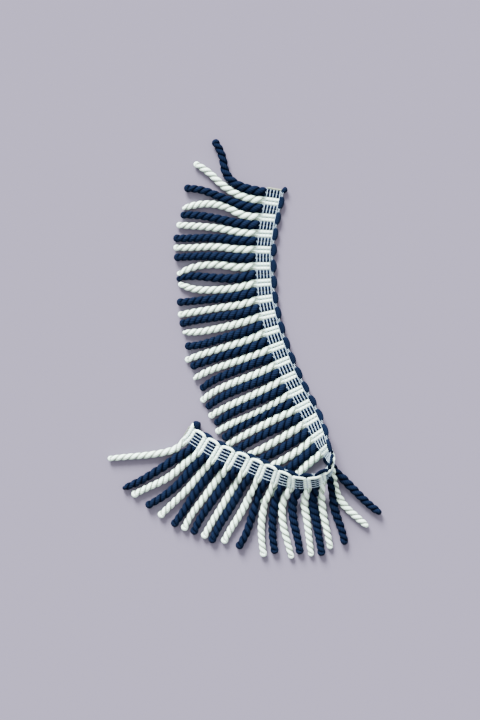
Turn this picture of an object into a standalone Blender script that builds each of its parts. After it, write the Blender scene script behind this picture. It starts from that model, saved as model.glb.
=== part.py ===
"""A cut length of two-colour bullion fringe, laid on a flat surface and turned over near its middle.

A navy cord and an ivory cord take turns. Each runs out from the heading, twists back on itself to make
one strand of the skirt, crosses the heading again beside its own first leg and turns in a loop over the
next colour's strand. Navy loops lie on the front face and ivory loops on the back. Fine ivory warp
threads run along both faces and hold the legs.
"""

from collections import namedtuple
from math import cos, pi, radians, sin

import bmesh
import bpy
import numpy as np
from mathutils import Vector

MM = 0.001

# Strands: a two-ply rope, drawn as a four-sided section that turns a quarter at each ring.
PLY_REACH = 4.05 * MM
PLY_DEPTH = 2.9 * MM
PLY_TURN = -pi / 2
ROOT_LENGTH = 1.7 * MM
CROWN_AT_ROOT = 10.0 * MM
CROWN_AT_TIP = 8.0 * MM
TIP_THINNING = 0.15
TIP_END_SCALE = 0.62
KNOB_SCALE = 1.16

# Heading: legs of both cords between two layers of warp threads.
STRAND_PITCH = 8.3 * MM
LEG_WIDTH = 3.8 * MM
LEG_DEPTH = 3.0 * MM
LEG_IN_STRAND = 3.4 * MM
STRAIGHT_ROOT = 3.6 * MM
LEG_OFFSET = 0.25
LOOP_SCALE = 0.8
LOOP_DEPTH_OFFSET = 1.8 * MM
WARP_WIDTH = 1.6 * MM
WARP_DEPTH = 0.8 * MM
WARP_FIRST = 1.5 * MM
WARP_SPACING = 3.28 * MM
WARP_COUNT = 5
WARP_MIDDLE = 2.6 * MM
END_BAR_WIDTH = 2.0 * MM
END_BAR_GAP = 1.2 * MM

# Each loop's points after its leg: strands from the loop's middle, and distance from the heading's edge.
LEG_END = 16.4 * MM
LOOP_ROUTE = ((0.75, 17.5 * MM), (0.36, 19.6 * MM))
LoopPoint = namedtuple("LoopPoint", "share across depth scale")
# How many strands lie between the warp's bends, from each of these strands on.
WarpStep = namedtuple("WarpStep", "start step")
WARP_STEPS = (
    WarpStep(0, 2.5),
    WarpStep(22, 1.5),
    WarpStep(30.5, 0.5),
    WarpStep(39, 1.0),
    WarpStep(44, 1.5),
)

# How strands rest on each other and on the surface.
GAP = 0.3 * MM
CLIMB = 0.55
MOST_PRESSED = 0.78
FALL_RUN = 12.0 * MM
RISE_RUN = 2.0 * MM
LAY_POINTS = 61
HEIGHTS_AVERAGED = 7

# Faces of a body that meet within this many degrees become one.
FLAT_WITHIN = 1.0

NAVY = (0.012, 0.022, 0.062, 1.0)
IVORY = (0.78, 0.80, 0.74, 1.0)
WARP = (0.80, 0.80, 0.74, 1.0)

# One row for each place along the heading where its line, lean or height changes. Strand 0 is the first.
# The edge is where the skirt starts; the bearing is the way the loops point; heights are of the middle layer.
# Lines are in millimetres and angles in degrees.
Section = namedtuple("Section", "strand edge_x edge_y bearing lean height")
HEADING = (
    Section(-1, 23.1, 167.0, -10, 0, 3.0),
    Section(0, 21.8, 158.6, -9, 0, 3.0),
    Section(4, 15.1, 125.1, -4, 0, 3.0),
    Section(8, 11.3, 92.1, -1, 0, 3.0),
    Section(12, 12.9, 57.6, 6, 0, 3.0),
    Section(16, 19.1, 24.3, 15, 0, 3.0),
    Section(20, 29.5, -8.5, 22, 0, 3.0),
    Section(24, 42.7, -39.3, 25, 0, 3.0),
    Section(28, 57.9, -68.3, 29, 3, 3.3),
    Section(31, 70.0, -91.4, 36, 26, 5.0),
    Section(33, 79.1, -105.4, 47, 51, 6.5),
    Section(34, 85.1, -111.5, 58, 66, 7.8),
    Section(35, 88.4, -119.5, 86, 71, 14.3),
    Section(36, 85.5, -127.6, 98, 66, 15.5),
    Section(37, 79.7, -134.1, 102, 57, 14.6),
    Section(38, 72.3, -139.0, 101, 50, 13.8),
    Section(40, 55.7, -140.9, 92, 42, 12.8),
    Section(42, 38.4, -137.6, 77, 33, 12.2),
    Section(44, 22.2, -133.0, 70, 16, 11.8),
    Section(48, -7.8, -120.8, 62, 5, 11.5),
    Section(51, -31.2, -111.2, 60, 0, 10.0),
    Section(54, -52.0, -99.0, 60, 0, 6.5),
    Section(56, -65.4, -89.8, 60, 0, 5.0),
)

# One row for each strand, in order along the heading: how long it is, in millimetres, and the way it
# points at its root, at each third and at its tip, in degrees. Tips are plain, or a knob of turned-back ply.
Strand = namedtuple("Strand", "name length root third two_thirds tip")
STRANDS = (
    Strand("N1", 84, 178, 156, 95, 132),
    Strand("W1", 82.5, 182, 155, 134, 154),
    Strand("N2", 83.5, 179, 158, 158, 184),
    Strand("W2", 82, 189, 149, 179, 202),
    Strand("N3", 82, 182, 166, 170, 185),
    Strand("W3", 83, 183, 167, 176, 177),
    Strand("N4", 85.5, 178, 173, 182, 179),
    Strand("W4", 83.5, 184, 171, 185, 177),
    Strand("N5", 83.5, 185, 174, 182, 184),
    Strand("W5", 81.5, 195, 168, 189, 212),
    Strand("N6", 81.5, 202, 179, 173, 200),
    Strand("W6", 80.5, 201, 187, 179, 152),
    Strand("N7", 83, 201, 186, 186, 184),
    Strand("W7", 82.5, 201, 188, 190, 190),
    Strand("N8", 83.5, 205, 187, 189, 194),
    Strand("W8", 81.5, 201, 195, 191, 178),
    Strand("N9", 83.5, 209, 195, 198, 180),
    Strand("W9", 86, 208, 197, 197, 202),
    Strand("N10", 83.5, 206, 196, 198, 199),
    Strand("W10", 84, 202, 199, 198, 213),
    Strand("N11", 81.5, 195, 202, 202, 221),
    Strand("W11", 85.5, 210, 200, 203, 223),
    Strand("N12", 83, 206, 201, 204, 221),
    Strand("W12", 84, 211, 205, 204, 213),
    Strand("N13", 82, 209, 204, 205, 218),
    Strand("W13", 84.5, 212, 207, 203, 212),
    Strand("N14", 82.5, 206, 205, 206, 221),
    Strand("W14", 86.5, 203, 207, 208, 212),
    Strand("N15", 85, 211, 204, 209, 213),
    Strand("W15", 87, 212, 211, 206, 215),
    Strand("N16", 84, 216, 210, 205, 216),
    Strand("W16", 86, 226, 210, 207, 217),
    Strand("N17", 83, 218, 219, 212, 211),
    Strand("W17", 82, 212, 226, 216, 214),
    Strand("N18", 82, 304, 314, 315, 326),
    Strand("W18", 77, 284, 283, 318, 320),
    Strand("N19", 76.5, 286, 276, 292, 278),
    Strand("W19", 72, 251, 277, 283, 280),
    Strand("N20", 74.5, 242, 280, 281, 277),
    Strand("W20", 72.5, 237, 281, 276, 278),
    Strand("N21", 72, 220, 272, 285, 275),
    Strand("W21", 77.5, 219, 269, 286, 284),
    Strand("N22", 74, 231, 262, 271, 284),
    Strand("W22", 79, 236, 256, 271, 281),
    Strand("N23", 77, 235, 254, 252, 232),
    Strand("W23", 77, 244, 245, 236, 245),
    Strand("N24", 82, 232, 240, 238, 247),
    Strand("W24", 80.5, 235, 239, 238, 242),
    Strand("N25", 82, 229, 235, 235, 250),
    Strand("W25", 82, 227, 235, 232, 249),
    Strand("N26", 83, 221, 233, 238, 231),
    Strand("W26", 82, 224, 232, 223, 225),
    Strand("N27", 82.5, 215, 231, 217, 205),
    Strand("W27", 84, 213, 224, 203, 209),
    Strand("N28", 84, 209, 214, 211, 200),
    Strand("W28", 86, 205, 195, 185, 182),
)
KNOBS = ("N1", "N2", "N3", "N4", "N5", "N7", "N8", "N9", "N10", "N14",
         "N18", "N19", "N20", "N21", "N22", "N23", "N24", "N25", "N27")
# A strand lies on those laid before it, and all are laid in order but for these.
LAID_FIRST = ("N6",)


def smooth_through(at, values):
    """A smooth curve through the values that never swings past them, as a function."""
    rise = np.diff(values) / np.diff(at)
    slopes = np.zeros(len(at))
    same_way = rise[1:] * rise[:-1] > 0
    slopes[1:-1][same_way] = (2 * rise[1:] * rise[:-1])[same_way] / (rise[1:] + rise[:-1])[same_way]
    slopes[0] = rise[0]
    slopes[-1] = rise[-1]

    def read(x):
        x = min(max(x, at[0]), at[-1])
        k = min(int(np.searchsorted(at, x, side="right")) - 1, len(at) - 2)
        span = at[k + 1] - at[k]
        t = (x - at[k]) / span
        first = (1 + 2 * t) * (1 - t) ** 2 * values[k] + t * (1 - t) ** 2 * span * slopes[k]
        second = t * t * (3 - 2 * t) * values[k + 1] + t * t * (t - 1) * span * slopes[k + 1]
        return float(first + second)

    return read


def heading_lines():
    columns = np.array(HEADING, dtype=float).T
    return [smooth_through(columns[0], column) for column in columns[1:]]


HEADING_LINES = heading_lines()
# The line's own direction is taken between points this many strands before and after.
NEAR = 0.1
# The warp's threads end in bars just past the outermost legs.
FIRST_END = -LEG_OFFSET - (LEG_WIDTH / 2 + END_BAR_GAP) / STRAND_PITCH
LAST_END = len(STRANDS) - 1 - FIRST_END


def along_heading(strand):
    """The heading's edge point and its three directions (to the loops, along, out of the front face)."""
    edge_x, edge_y, bearing_of, lean_of, height = HEADING_LINES
    edge = Vector((edge_x(strand), edge_y(strand), height(strand))) * MM
    bearing = radians(bearing_of(strand))
    lean = radians(lean_of(strand))
    to_loops = Vector((cos(lean) * cos(bearing), cos(lean) * sin(bearing), sin(lean)))
    before, after = strand - NEAR, strand + NEAR
    along = Vector([line(after) - line(before) for line in (edge_x, edge_y, height)])
    along = (along - along.project(to_loops)).normalized()
    return edge, to_loops, along, along.cross(to_loops)


def in_heading(strand, across, depth):
    """A point of the heading: at this strand, this far from the edge to the loops and up from the middle."""
    edge, to_loops, _, front = along_heading(strand)
    return edge + to_loops * across + front * depth


def lay_in_heading(mesh):
    """Takes a mesh that is woven straight and flat to the heading's line, lean and height."""
    for vertex in mesh.vertices:
        x, y, z = vertex.co
        vertex.co = in_heading(x / STRAND_PITCH, y, z)


def lay_of(row, count):
    """Distances along a strand, its points in plan, and its height where it is free to bend."""
    length = row.length * MM
    number = STRANDS.index(row)
    distance = np.linspace(0, length, count)
    bearings = np.interp(distance, np.linspace(0, length, 4), row[2:6])
    middle = np.radians((bearings[1:] + bearings[:-1]) / 2)
    step = np.diff(distance)
    free = in_heading(number, -STRAIGHT_ROOT, 0)
    held = distance < STRAIGHT_ROOT
    x = np.concatenate(([0], np.cumsum(np.cos(middle) * step)))
    y = np.concatenate(([0], np.cumsum(np.sin(middle) * step)))
    x += free.x - np.interp(STRAIGHT_ROOT, distance, x)
    y += free.y - np.interp(STRAIGHT_ROOT, distance, y)
    root = np.array([in_heading(number, -d, 0) for d in distance[held]])
    x[held] = root[:, 0]
    y[held] = root[:, 1]
    return distance, np.column_stack((x, y)), root[:, 2]


def plain_reach(share):
    """Half of a strand's width where nothing presses on it, at this share of its length."""
    return PLY_REACH * (1 - TIP_THINNING * share)


def apart_from(plan, other):
    return np.hypot(plan[:, None, 0] - other[None, :, 0], plan[:, None, 1] - other[None, :, 1])


def pressed(row, lays):
    """How much a strand is narrowed along its length by the strands beside it."""
    distance, plan, _ = lays[row.name]
    reach = plain_reach(distance / distance[-1])
    narrowed = np.ones(len(distance))
    for name, (other_distance, other, _) in lays.items():
        if name != row.name:
            touch = reach[:, None] + plain_reach(other_distance / other_distance[-1])[None, :] + GAP
            narrowed = np.minimum(narrowed, (apart_from(plan, other) / touch).min(axis=1))
    return np.maximum(narrowed, MOST_PRESSED)


def resting_heights(distance, plan, reach, root_heights, laid):
    """A strand's heights: down from the heading to the surface, and over the strands laid before it."""
    held = len(root_heights)
    run = FALL_RUN if root_heights[-1] > reach[held] else RISE_RUN
    ramp = np.clip((distance - STRAIGHT_ROOT) / run, 0, 1)
    ramp = ramp * ramp * (3 - 2 * ramp)
    need = root_heights[-1] + (reach - root_heights[-1]) * ramp
    for other, heights, other_reach in laid:
        tall = reach[:, None] + other_reach[None, :] + GAP
        near = apart_from(plan, other) / (MOST_PRESSED * tall)
        over = heights[None, :] + tall * np.sqrt(np.clip(1 - near ** 2, 0, None))
        need = np.maximum(need, np.where(near < 1, over, 0).max(axis=1))
    need[:held] = 0
    climb = need[None, :] - CLIMB * np.abs(distance[:, None] - distance[None, :])
    raised = climb.max(axis=1)
    padded = np.pad(raised, HEIGHTS_AVERAGED // 2, mode="edge")
    smooth = np.convolve(padded, np.ones(HEIGHTS_AVERAGED) / HEIGHTS_AVERAGED, mode="valid")
    heights = np.maximum(need, smooth)
    heights[:held] = root_heights
    return heights


def lay_strands():
    """Every strand's distances, points and half widths, by name."""
    flat = {row.name: lay_of(row, LAY_POINTS) for row in STRANDS}
    order = [row for row in STRANDS if row.name in LAID_FIRST]
    order += [row for row in STRANDS if row.name not in LAID_FIRST]
    laid = []
    found = {}
    for row in order:
        distance, plan, root_heights = flat[row.name]
        reach = plain_reach(distance / distance[-1]) * pressed(row, flat)
        heights = resting_heights(distance, plan, reach, root_heights, laid)
        laid.append((plan, heights, reach))
        found[row.name] = (distance, np.column_stack((plan, heights)), reach)
    return found


def point_on(lay, distance):
    along, points, _ = lay
    return Vector([np.interp(distance, along, points[:, k]) for k in range(3)])


def ring_distances(length):
    """Where a strand's rings lie: two to each crown, closer together towards the tip."""
    distance = ROOT_LENGTH
    found = []
    while distance < length - CROWN_AT_TIP / 4:
        found.append(distance)
        crown = CROWN_AT_ROOT + (CROWN_AT_TIP - CROWN_AT_ROOT) * distance / length
        distance += crown / 2
    found.append(length)
    return found


def new_curve(name, half_width, half_depth, corners, twist="MINIMUM"):
    """An empty curve whose section is a closed outline with these corners, each a share of the half sizes."""
    outline = bpy.data.curves.new(name + "_outline", "CURVE")
    outline.dimensions = "2D"
    ring = outline.splines.new("POLY")
    ring.points.add(len(corners) - 1)
    for point, (x, y) in zip(ring.points, corners):
        point.co = (x * half_width, y * half_depth, 0, 1)
    ring.use_cyclic_u = True
    section = bpy.data.objects.new(name + "_outline", outline)
    section.hide_render = True
    section.display_type = "WIRE"
    guides.objects.link(section)
    curve = bpy.data.curves.new(name, "CURVE")
    curve.dimensions = "3D"
    curve.twist_mode = twist
    curve.bevel_mode = "OBJECT"
    curve.bevel_object = section
    curve.use_fill_caps = True
    return curve


def add_run(curve, points, scales, turns):
    run = curve.splines.new("POLY")
    run.points.add(len(points) - 1)
    for target, point, scale, turn in zip(run.points, points, scales, turns):
        target.co = (*point, 1)
        target.radius = scale
        target.tilt = turn


def strand_curve(name, first, lays):
    """Every second strand from this one on, twisted a quarter turn from ring to ring."""
    curve = new_curve(name + "_strands", PLY_REACH, PLY_DEPTH, ((1, 0), (0, 1), (-1, 0), (0, -1)))
    for row in STRANDS[first::2]:
        length = row.length * MM
        rings = ring_distances(length)
        points = [point_on(lays[row.name], d) for d in rings]
        distance, _, reach = lays[row.name]
        scales = [float(np.interp(d, distance, reach)) / PLY_REACH for d in rings]
        if row.name in KNOBS:
            points[-2].z += (KNOB_SCALE - 1) * scales[-2] * PLY_REACH
            scales[-2] *= KNOB_SCALE
        scales[-1] *= TIP_END_SCALE
        turns = [PLY_TURN * k for k in range(len(rings))]
        add_run(curve, points, scales, turns)
    return curve


def cord_curve(name, first, face):
    """The legs and loops of one cord, woven flat; face is 1 for loops on the front and -1 for the back."""
    corners = ((1, 1), (-1, 1), (-1, -1), (1, -1))
    curve = new_curve(name + "_legs", LEG_WIDTH / 2, LEG_DEPTH / 2, corners, "Z_UP")
    last = len(STRANDS) - 1
    half_route = [LoopPoint(0.5 + LEG_OFFSET, -LEG_IN_STRAND, 0.0, 1.0)]
    half_route.append(LoopPoint(0.5 + LEG_OFFSET, LEG_END, 0.0, 1.0))
    half_route += [LoopPoint(share, across, face * LOOP_DEPTH_OFFSET, LOOP_SCALE)
                   for share, across in LOOP_ROUTE]
    for middle in range(first - 1, last + 2, 2):
        left = [p._replace(share=middle - p.share) for p in half_route if middle > 0]
        right = [p._replace(share=middle + p.share) for p in reversed(half_route) if middle < last]
        route = left + right
        points = [(p.share * STRAND_PITCH, p.across, p.depth) for p in route]
        add_run(curve, points, [p.scale for p in route], [0.0] * len(route))
    return curve


def to_mesh(curve, woven=False):
    """The curve as a mesh object, its caps welded and each four-sided face cut along its shorter way."""
    holder = bpy.data.objects.new(curve.name, curve)
    guides.objects.link(holder)
    bpy.context.view_layer.update()
    graph = bpy.context.evaluated_depsgraph_get()
    mesh = bpy.data.meshes.new_from_object(holder.evaluated_get(graph))
    bpy.data.objects.remove(holder)
    shape = bmesh.new()
    shape.from_mesh(mesh)
    bmesh.ops.remove_doubles(shape, verts=shape.verts, dist=0.01 * MM)
    bmesh.ops.triangulate(shape, faces=shape.faces, quad_method="SHORT_EDGE")
    bmesh.ops.recalc_face_normals(shape, faces=shape.faces)
    shape.to_mesh(mesh)
    shape.free()
    if woven:
        lay_in_heading(mesh)
    return bpy.data.objects.new(curve.name, mesh)


def weft(name, first, face, tint, lays):
    """One cord's strands, legs and loops, joined into one body."""
    piece = to_mesh(strand_curve(name, first, lays))
    piece.name = name
    piece.data.name = name
    parts.objects.link(piece)
    legs = to_mesh(cord_curve(name, first, face), woven=True)
    legs.hide_render = True
    legs.display_type = "WIRE"
    guides.objects.link(legs)
    joining = piece.modifiers.new("legs", "BOOLEAN")
    joining.operation = "UNION"
    joining.solver = "EXACT"
    joining.use_self = True
    joining.object = legs
    flat = piece.modifiers.new("flat", "DECIMATE")
    flat.decimate_type = "DISSOLVE"
    flat.angle_limit = radians(FLAT_WITHIN)
    piece.data.materials.append(yarn(name, tint))
    return piece


def yarn(name, colour):
    material = bpy.data.materials.new(name)
    material.use_nodes = True
    shader = material.node_tree.nodes["Principled BSDF"]
    shader.inputs["Base Color"].default_value = colour
    shader.inputs["Roughness"].default_value = 0.85
    shader.inputs["Metallic"].default_value = 0.0
    return material


def warp_stations():
    """Strand numbers at which the warp bends, closer together at the turn."""
    found = []
    strand = FIRST_END
    while strand < LAST_END - 1:
        found.append(strand)
        strand += [row.step for row in WARP_STEPS if row.start <= max(strand, 0)][-1]
    found.append(LAST_END)
    return found


def warp_belt():
    """The warp: a flat belt round both faces, slit into threads but for a bar at each cut end."""
    stations = warp_stations()
    bar = END_BAR_WIDTH / STRAND_PITCH
    there = [FIRST_END - bar] + stations + [LAST_END + bar]
    rows = [(strand, WARP_MIDDLE) for strand in there]
    rows += [(strand, -WARP_MIDDLE) for strand in reversed(there)]
    edges = []
    for thread in range(WARP_COUNT):
        middle = WARP_FIRST + thread * WARP_SPACING
        edges += [middle - WARP_WIDTH / 2, middle + WARP_WIDTH / 2]
    shape = bmesh.new()
    grid = []
    for strand, depth in rows:
        grid.append([shape.verts.new((strand * STRAND_PITCH, edge, depth)) for edge in edges])
    for k, (strand, depth) in enumerate(rows):
        after = (k + 1) % len(rows)
        in_bar = not (FIRST_END <= strand <= LAST_END and FIRST_END <= rows[after][0] <= LAST_END)
        for column in range(len(edges) - 1):
            if column % 2 == 0 or in_bar:
                a, b = grid[k][column:column + 2]
                d, c = grid[after][column:column + 2]
                shape.faces.new((a, b, c, d))
    bmesh.ops.recalc_face_normals(shape, faces=shape.faces)
    mesh = bpy.data.meshes.new("heading_warp")
    shape.to_mesh(mesh)
    shape.free()
    lay_in_heading(mesh)
    piece = bpy.data.objects.new("heading_warp", mesh)
    parts.objects.link(piece)
    wall = piece.modifiers.new("thread", "SOLIDIFY")
    wall.thickness = WARP_DEPTH
    wall.offset = 0.0
    wall.use_even_offset = True
    piece.data.materials.append(yarn("heading_warp", WARP))
    return piece


for old in list(bpy.data.objects):
    bpy.data.objects.remove(old)
parts = bpy.data.collections.new("bullion_fringe")
guides = bpy.data.collections.new("guides")
bpy.context.scene.collection.children.link(parts)
bpy.context.scene.collection.children.link(guides)

LAYS = lay_strands()
weft("navy_weft", 0, 1, NAVY, LAYS)
weft("ivory_weft", 1, -1, IVORY, LAYS)
warp_belt()
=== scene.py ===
"""Dresses a laid length of two-colour bullion fringe.

It winds the two cords, weaves the heading's warp, glues its cut ends and sets a soft studio.
"""

from collections import namedtuple
from functools import lru_cache
from math import cos, pi, radians, sin

import bmesh
import bpy
import numpy as np
from bpy.props import FloatProperty, FloatVectorProperty, IntProperty, PointerProperty
from bpy.types import Operator, Panel, PropertyGroup
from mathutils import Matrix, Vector, noise


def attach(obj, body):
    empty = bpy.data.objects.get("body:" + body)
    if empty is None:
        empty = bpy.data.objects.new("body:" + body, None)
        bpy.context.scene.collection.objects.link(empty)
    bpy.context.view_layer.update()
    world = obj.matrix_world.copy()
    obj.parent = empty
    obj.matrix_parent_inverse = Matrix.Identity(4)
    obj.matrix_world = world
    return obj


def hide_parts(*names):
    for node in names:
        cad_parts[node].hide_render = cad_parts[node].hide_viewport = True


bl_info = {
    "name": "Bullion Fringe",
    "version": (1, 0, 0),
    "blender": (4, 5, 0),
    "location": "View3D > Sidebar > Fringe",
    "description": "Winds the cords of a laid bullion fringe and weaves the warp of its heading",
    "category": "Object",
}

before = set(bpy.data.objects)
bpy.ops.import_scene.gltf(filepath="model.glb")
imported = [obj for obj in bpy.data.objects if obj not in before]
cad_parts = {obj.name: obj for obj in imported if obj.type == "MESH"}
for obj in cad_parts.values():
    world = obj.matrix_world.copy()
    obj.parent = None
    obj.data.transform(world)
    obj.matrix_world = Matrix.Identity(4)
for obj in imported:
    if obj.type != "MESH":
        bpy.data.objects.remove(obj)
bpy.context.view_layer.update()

MM = 0.001

# The rope's outline and its rest on the surface, as in the solids.
PLY_REACH = 4.05 * MM
TIP_THINNING = 0.15
STRAND_PITCH = 8.3 * MM
STRAIGHT_ROOT = 3.6 * MM
GAP = 0.3 * MM
CLIMB = 0.55
MOST_PRESSED = 0.78
FALL_RUN = 12.0 * MM
RISE_RUN = 2.0 * MM
LAY_POINTS = 61
HEIGHTS_AVERAGED = 7
# The heading's run at a strand is read this far to each side of it, in strands.
NEAR = 0.1

# Where the cords' legs lie in the heading, and where its warp starts and ends.
LEG_OFFSET = 0.25
END_GAP = 2.5 * MM
WARP_FIRST = 1.5 * MM
WARP_SPACING = 3.28 * MM
WARP_COUNT = 5

# One row for each place along the heading where its line, lean or height changes: the strand, from
# 0, the x and y of the edge where the skirt starts, the bearing that the loops point in, the lean,
# and the height of the middle layer. Lengths are in millimetres and angles in degrees.
HEADING = (
    (-1, 23.1, 167.0, -10, 0, 3.0),
    (0, 21.8, 158.6, -9, 0, 3.0),
    (4, 15.1, 125.1, -4, 0, 3.0),
    (8, 11.3, 92.1, -1, 0, 3.0),
    (12, 12.9, 57.6, 6, 0, 3.0),
    (16, 19.1, 24.3, 15, 0, 3.0),
    (20, 29.5, -8.5, 22, 0, 3.0),
    (24, 42.7, -39.3, 25, 0, 3.0),
    (28, 57.9, -68.3, 29, 3, 3.3),
    (31, 70.0, -91.4, 36, 26, 5.0),
    (33, 79.1, -105.4, 47, 51, 6.5),
    (34, 85.1, -111.5, 58, 66, 7.8),
    (35, 88.4, -119.5, 86, 71, 14.3),
    (36, 85.5, -127.6, 98, 66, 15.5),
    (37, 79.7, -134.1, 102, 57, 14.6),
    (38, 72.3, -139.0, 101, 50, 13.8),
    (40, 55.7, -140.9, 92, 42, 12.8),
    (42, 38.4, -137.6, 77, 33, 12.2),
    (44, 22.2, -133.0, 70, 16, 11.8),
    (48, -7.8, -120.8, 62, 5, 11.5),
    (51, -31.2, -111.2, 60, 0, 10.0),
    (54, -52.0, -99.0, 60, 0, 6.5),
    (56, -65.4, -89.8, 60, 0, 5.0),
)

# One row for each strand, in order along the heading: how long it is, in millimetres, and the way
# that it points at its root, at each third and at its tip, in degrees.
Strand = namedtuple("Strand", "name length root third two_thirds tip")
STRANDS = [Strand(*row) for row in (
    ("N1", 84, 178, 156, 95, 132),
    ("W1", 82.5, 182, 155, 134, 154),
    ("N2", 83.5, 179, 158, 158, 184),
    ("W2", 82, 189, 149, 179, 202),
    ("N3", 82, 182, 166, 170, 185),
    ("W3", 83, 183, 167, 176, 177),
    ("N4", 85.5, 178, 173, 182, 179),
    ("W4", 83.5, 184, 171, 185, 177),
    ("N5", 83.5, 185, 174, 182, 184),
    ("W5", 81.5, 195, 168, 189, 212),
    ("N6", 81.5, 202, 179, 173, 200),
    ("W6", 80.5, 201, 187, 179, 152),
    ("N7", 83, 201, 186, 186, 184),
    ("W7", 82.5, 201, 188, 190, 190),
    ("N8", 83.5, 205, 187, 189, 194),
    ("W8", 81.5, 201, 195, 191, 178),
    ("N9", 83.5, 209, 195, 198, 180),
    ("W9", 86, 208, 197, 197, 202),
    ("N10", 83.5, 206, 196, 198, 199),
    ("W10", 84, 202, 199, 198, 213),
    ("N11", 81.5, 195, 202, 202, 221),
    ("W11", 85.5, 210, 200, 203, 223),
    ("N12", 83, 206, 201, 204, 221),
    ("W12", 84, 211, 205, 204, 213),
    ("N13", 82, 209, 204, 205, 218),
    ("W13", 84.5, 212, 207, 203, 212),
    ("N14", 82.5, 206, 205, 206, 221),
    ("W14", 86.5, 203, 207, 208, 212),
    ("N15", 85, 211, 204, 209, 213),
    ("W15", 87, 212, 211, 206, 215),
    ("N16", 84, 216, 210, 205, 216),
    ("W16", 86, 226, 210, 207, 217),
    ("N17", 83, 218, 219, 212, 211),
    ("W17", 82, 212, 226, 216, 214),
    ("N18", 82, 304, 314, 315, 326),
    ("W18", 77, 284, 283, 318, 320),
    ("N19", 76.5, 286, 276, 292, 278),
    ("W19", 72, 251, 277, 283, 280),
    ("N20", 74.5, 242, 280, 281, 277),
    ("W20", 72.5, 237, 281, 276, 278),
    ("N21", 72, 220, 272, 285, 275),
    ("W21", 77.5, 219, 269, 286, 284),
    ("N22", 74, 231, 262, 271, 284),
    ("W22", 79, 236, 256, 271, 281),
    ("N23", 77, 235, 254, 252, 232),
    ("W23", 77, 244, 245, 236, 245),
    ("N24", 82, 232, 240, 238, 247),
    ("W24", 80.5, 235, 239, 238, 242),
    ("N25", 82, 229, 235, 235, 250),
    ("W25", 82, 227, 235, 232, 249),
    ("N26", 83, 221, 233, 238, 231),
    ("W26", 82, 224, 232, 223, 225),
    ("N27", 82.5, 215, 231, 217, 205),
    ("W27", 84, 213, 224, 203, 209),
    ("N28", 84, 209, 214, 211, 200),
    ("W28", 83.3, 213, 190, 184, 187),
)]
# The strands that end in a knob, those that end in a point, and the one that lies under the rest.
KNOBS = ("N1", "N2", "N3", "N4", "N5", "N7", "N8", "N9", "N10", "N14",
         "N18", "N19", "N20", "N21", "N22", "N23", "N24", "N25", "N26", "N27",
         "W22", "W23", "W24", "W25", "W26", "W27")
POINTED = ("W2", "W8", "W10", "N28")
LAID_FIRST = ("N6",)
LAST = len(STRANDS) - 1
FIRST_END = -LEG_OFFSET - END_GAP / STRAND_PITCH
LAST_END = LAST - FIRST_END

# The winding. A crown is one hump of the rope. Winds are negative, because the plies lie like the
# middle of an S. The last strand is slimmer than the rest, and its plies lie closer.
CROWN_AT_ROOT = 8.7 * MM
CROWN_AT_TIP = 6.5 * MM
PLY_WIDTH = 0.63
SNUG_PLIES = {"W28": 0.72}
PLY_FLATTENING = 0.86
SLIM = {"W28": 0.86}
KNOB_GROWTH = 0.25
KNOB_LENGTH = 7.0 * MM
POINT_TAPER = 0.20
PLAIN_TAPER = 0.08
POINT_LENGTH = 12.0 * MM
TIP_RINGS = 8
# The painted shade at the sides of a tip's rings, and of plain rings, from 0 to 1.
TIP_CREASE_SHADE = 0.2
PLAIN_CREASE_SHADE = 0.5
CENTRE_BLUR = 0.7 * MM
TWIST_SPREAD = 0.07
TWIST_SEED = 5

# Each cord: its first strand, its legs' radius, and its loops, which lie on the front where its
# face is 1 and on the back where it is -1. The edge warp pinches a loop where it leaves its leg.
# The ropes are fuller than the solids by one factor at the root and another at the tip, and they
# are twisted up over a run past the heading's edge.
# Each cord's leg_crease is the painted shade at its legs' sides, in the groove between them, from 0
# to 1.
Cord = namedtuple("Cord", "first face radius loop_depth loop_radius loop_pinch loop_flattening "
                  "root_full tip_full leg_crease twisted_over")
CORDS = {
    "navy": Cord(first=0, face=1, radius=1.95 * MM, loop_depth=1.55 * MM, loop_radius=3.0 * MM,
                 loop_pinch=1.3 * MM, loop_flattening=0.53, root_full=1.31, tip_full=1.12,
                 leg_crease=0.35, twisted_over=3.4 * MM),
    "ivory": Cord(first=1, face=-1, radius=1.78 * MM, loop_depth=1.6 * MM, loop_radius=1.5 * MM,
                  loop_pinch=1.55 * MM, loop_flattening=0.72, root_full=1.10, tip_full=0.94,
                  leg_crease=1.0, twisted_over=6.2 * MM),
}
LEG_STEP = 1.9 * MM
LOOP_HALF = 0.5 + LEG_OFFSET
LOOP_RINGS = 18
# A loop comes up out of the heading this much faster than it swings out from the edge.
LOOP_RISE = 1.5
# At these strands, where the legs end and how far the loops reach from the heading's edge, in
# millimetres.
LOOP_PLACES = {
    "navy": ((0, 16.0, 20.6), (5, 16.0, 20.9), (7, 16.1, 21.8), (10, 16.1, 21.8),
             (13, 16.2, 21.2), (30, 16.0, 20.8), (38, 15.6, 19.6)),
    "ivory": ((0, 13.7, 15.8), (24, 13.7, 15.8), (31, 13.6, 15.6), (34, 13.2, 15.2),
              (36, 13.2, 16.2), (38, 13.6, 17.4)),
}

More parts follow.
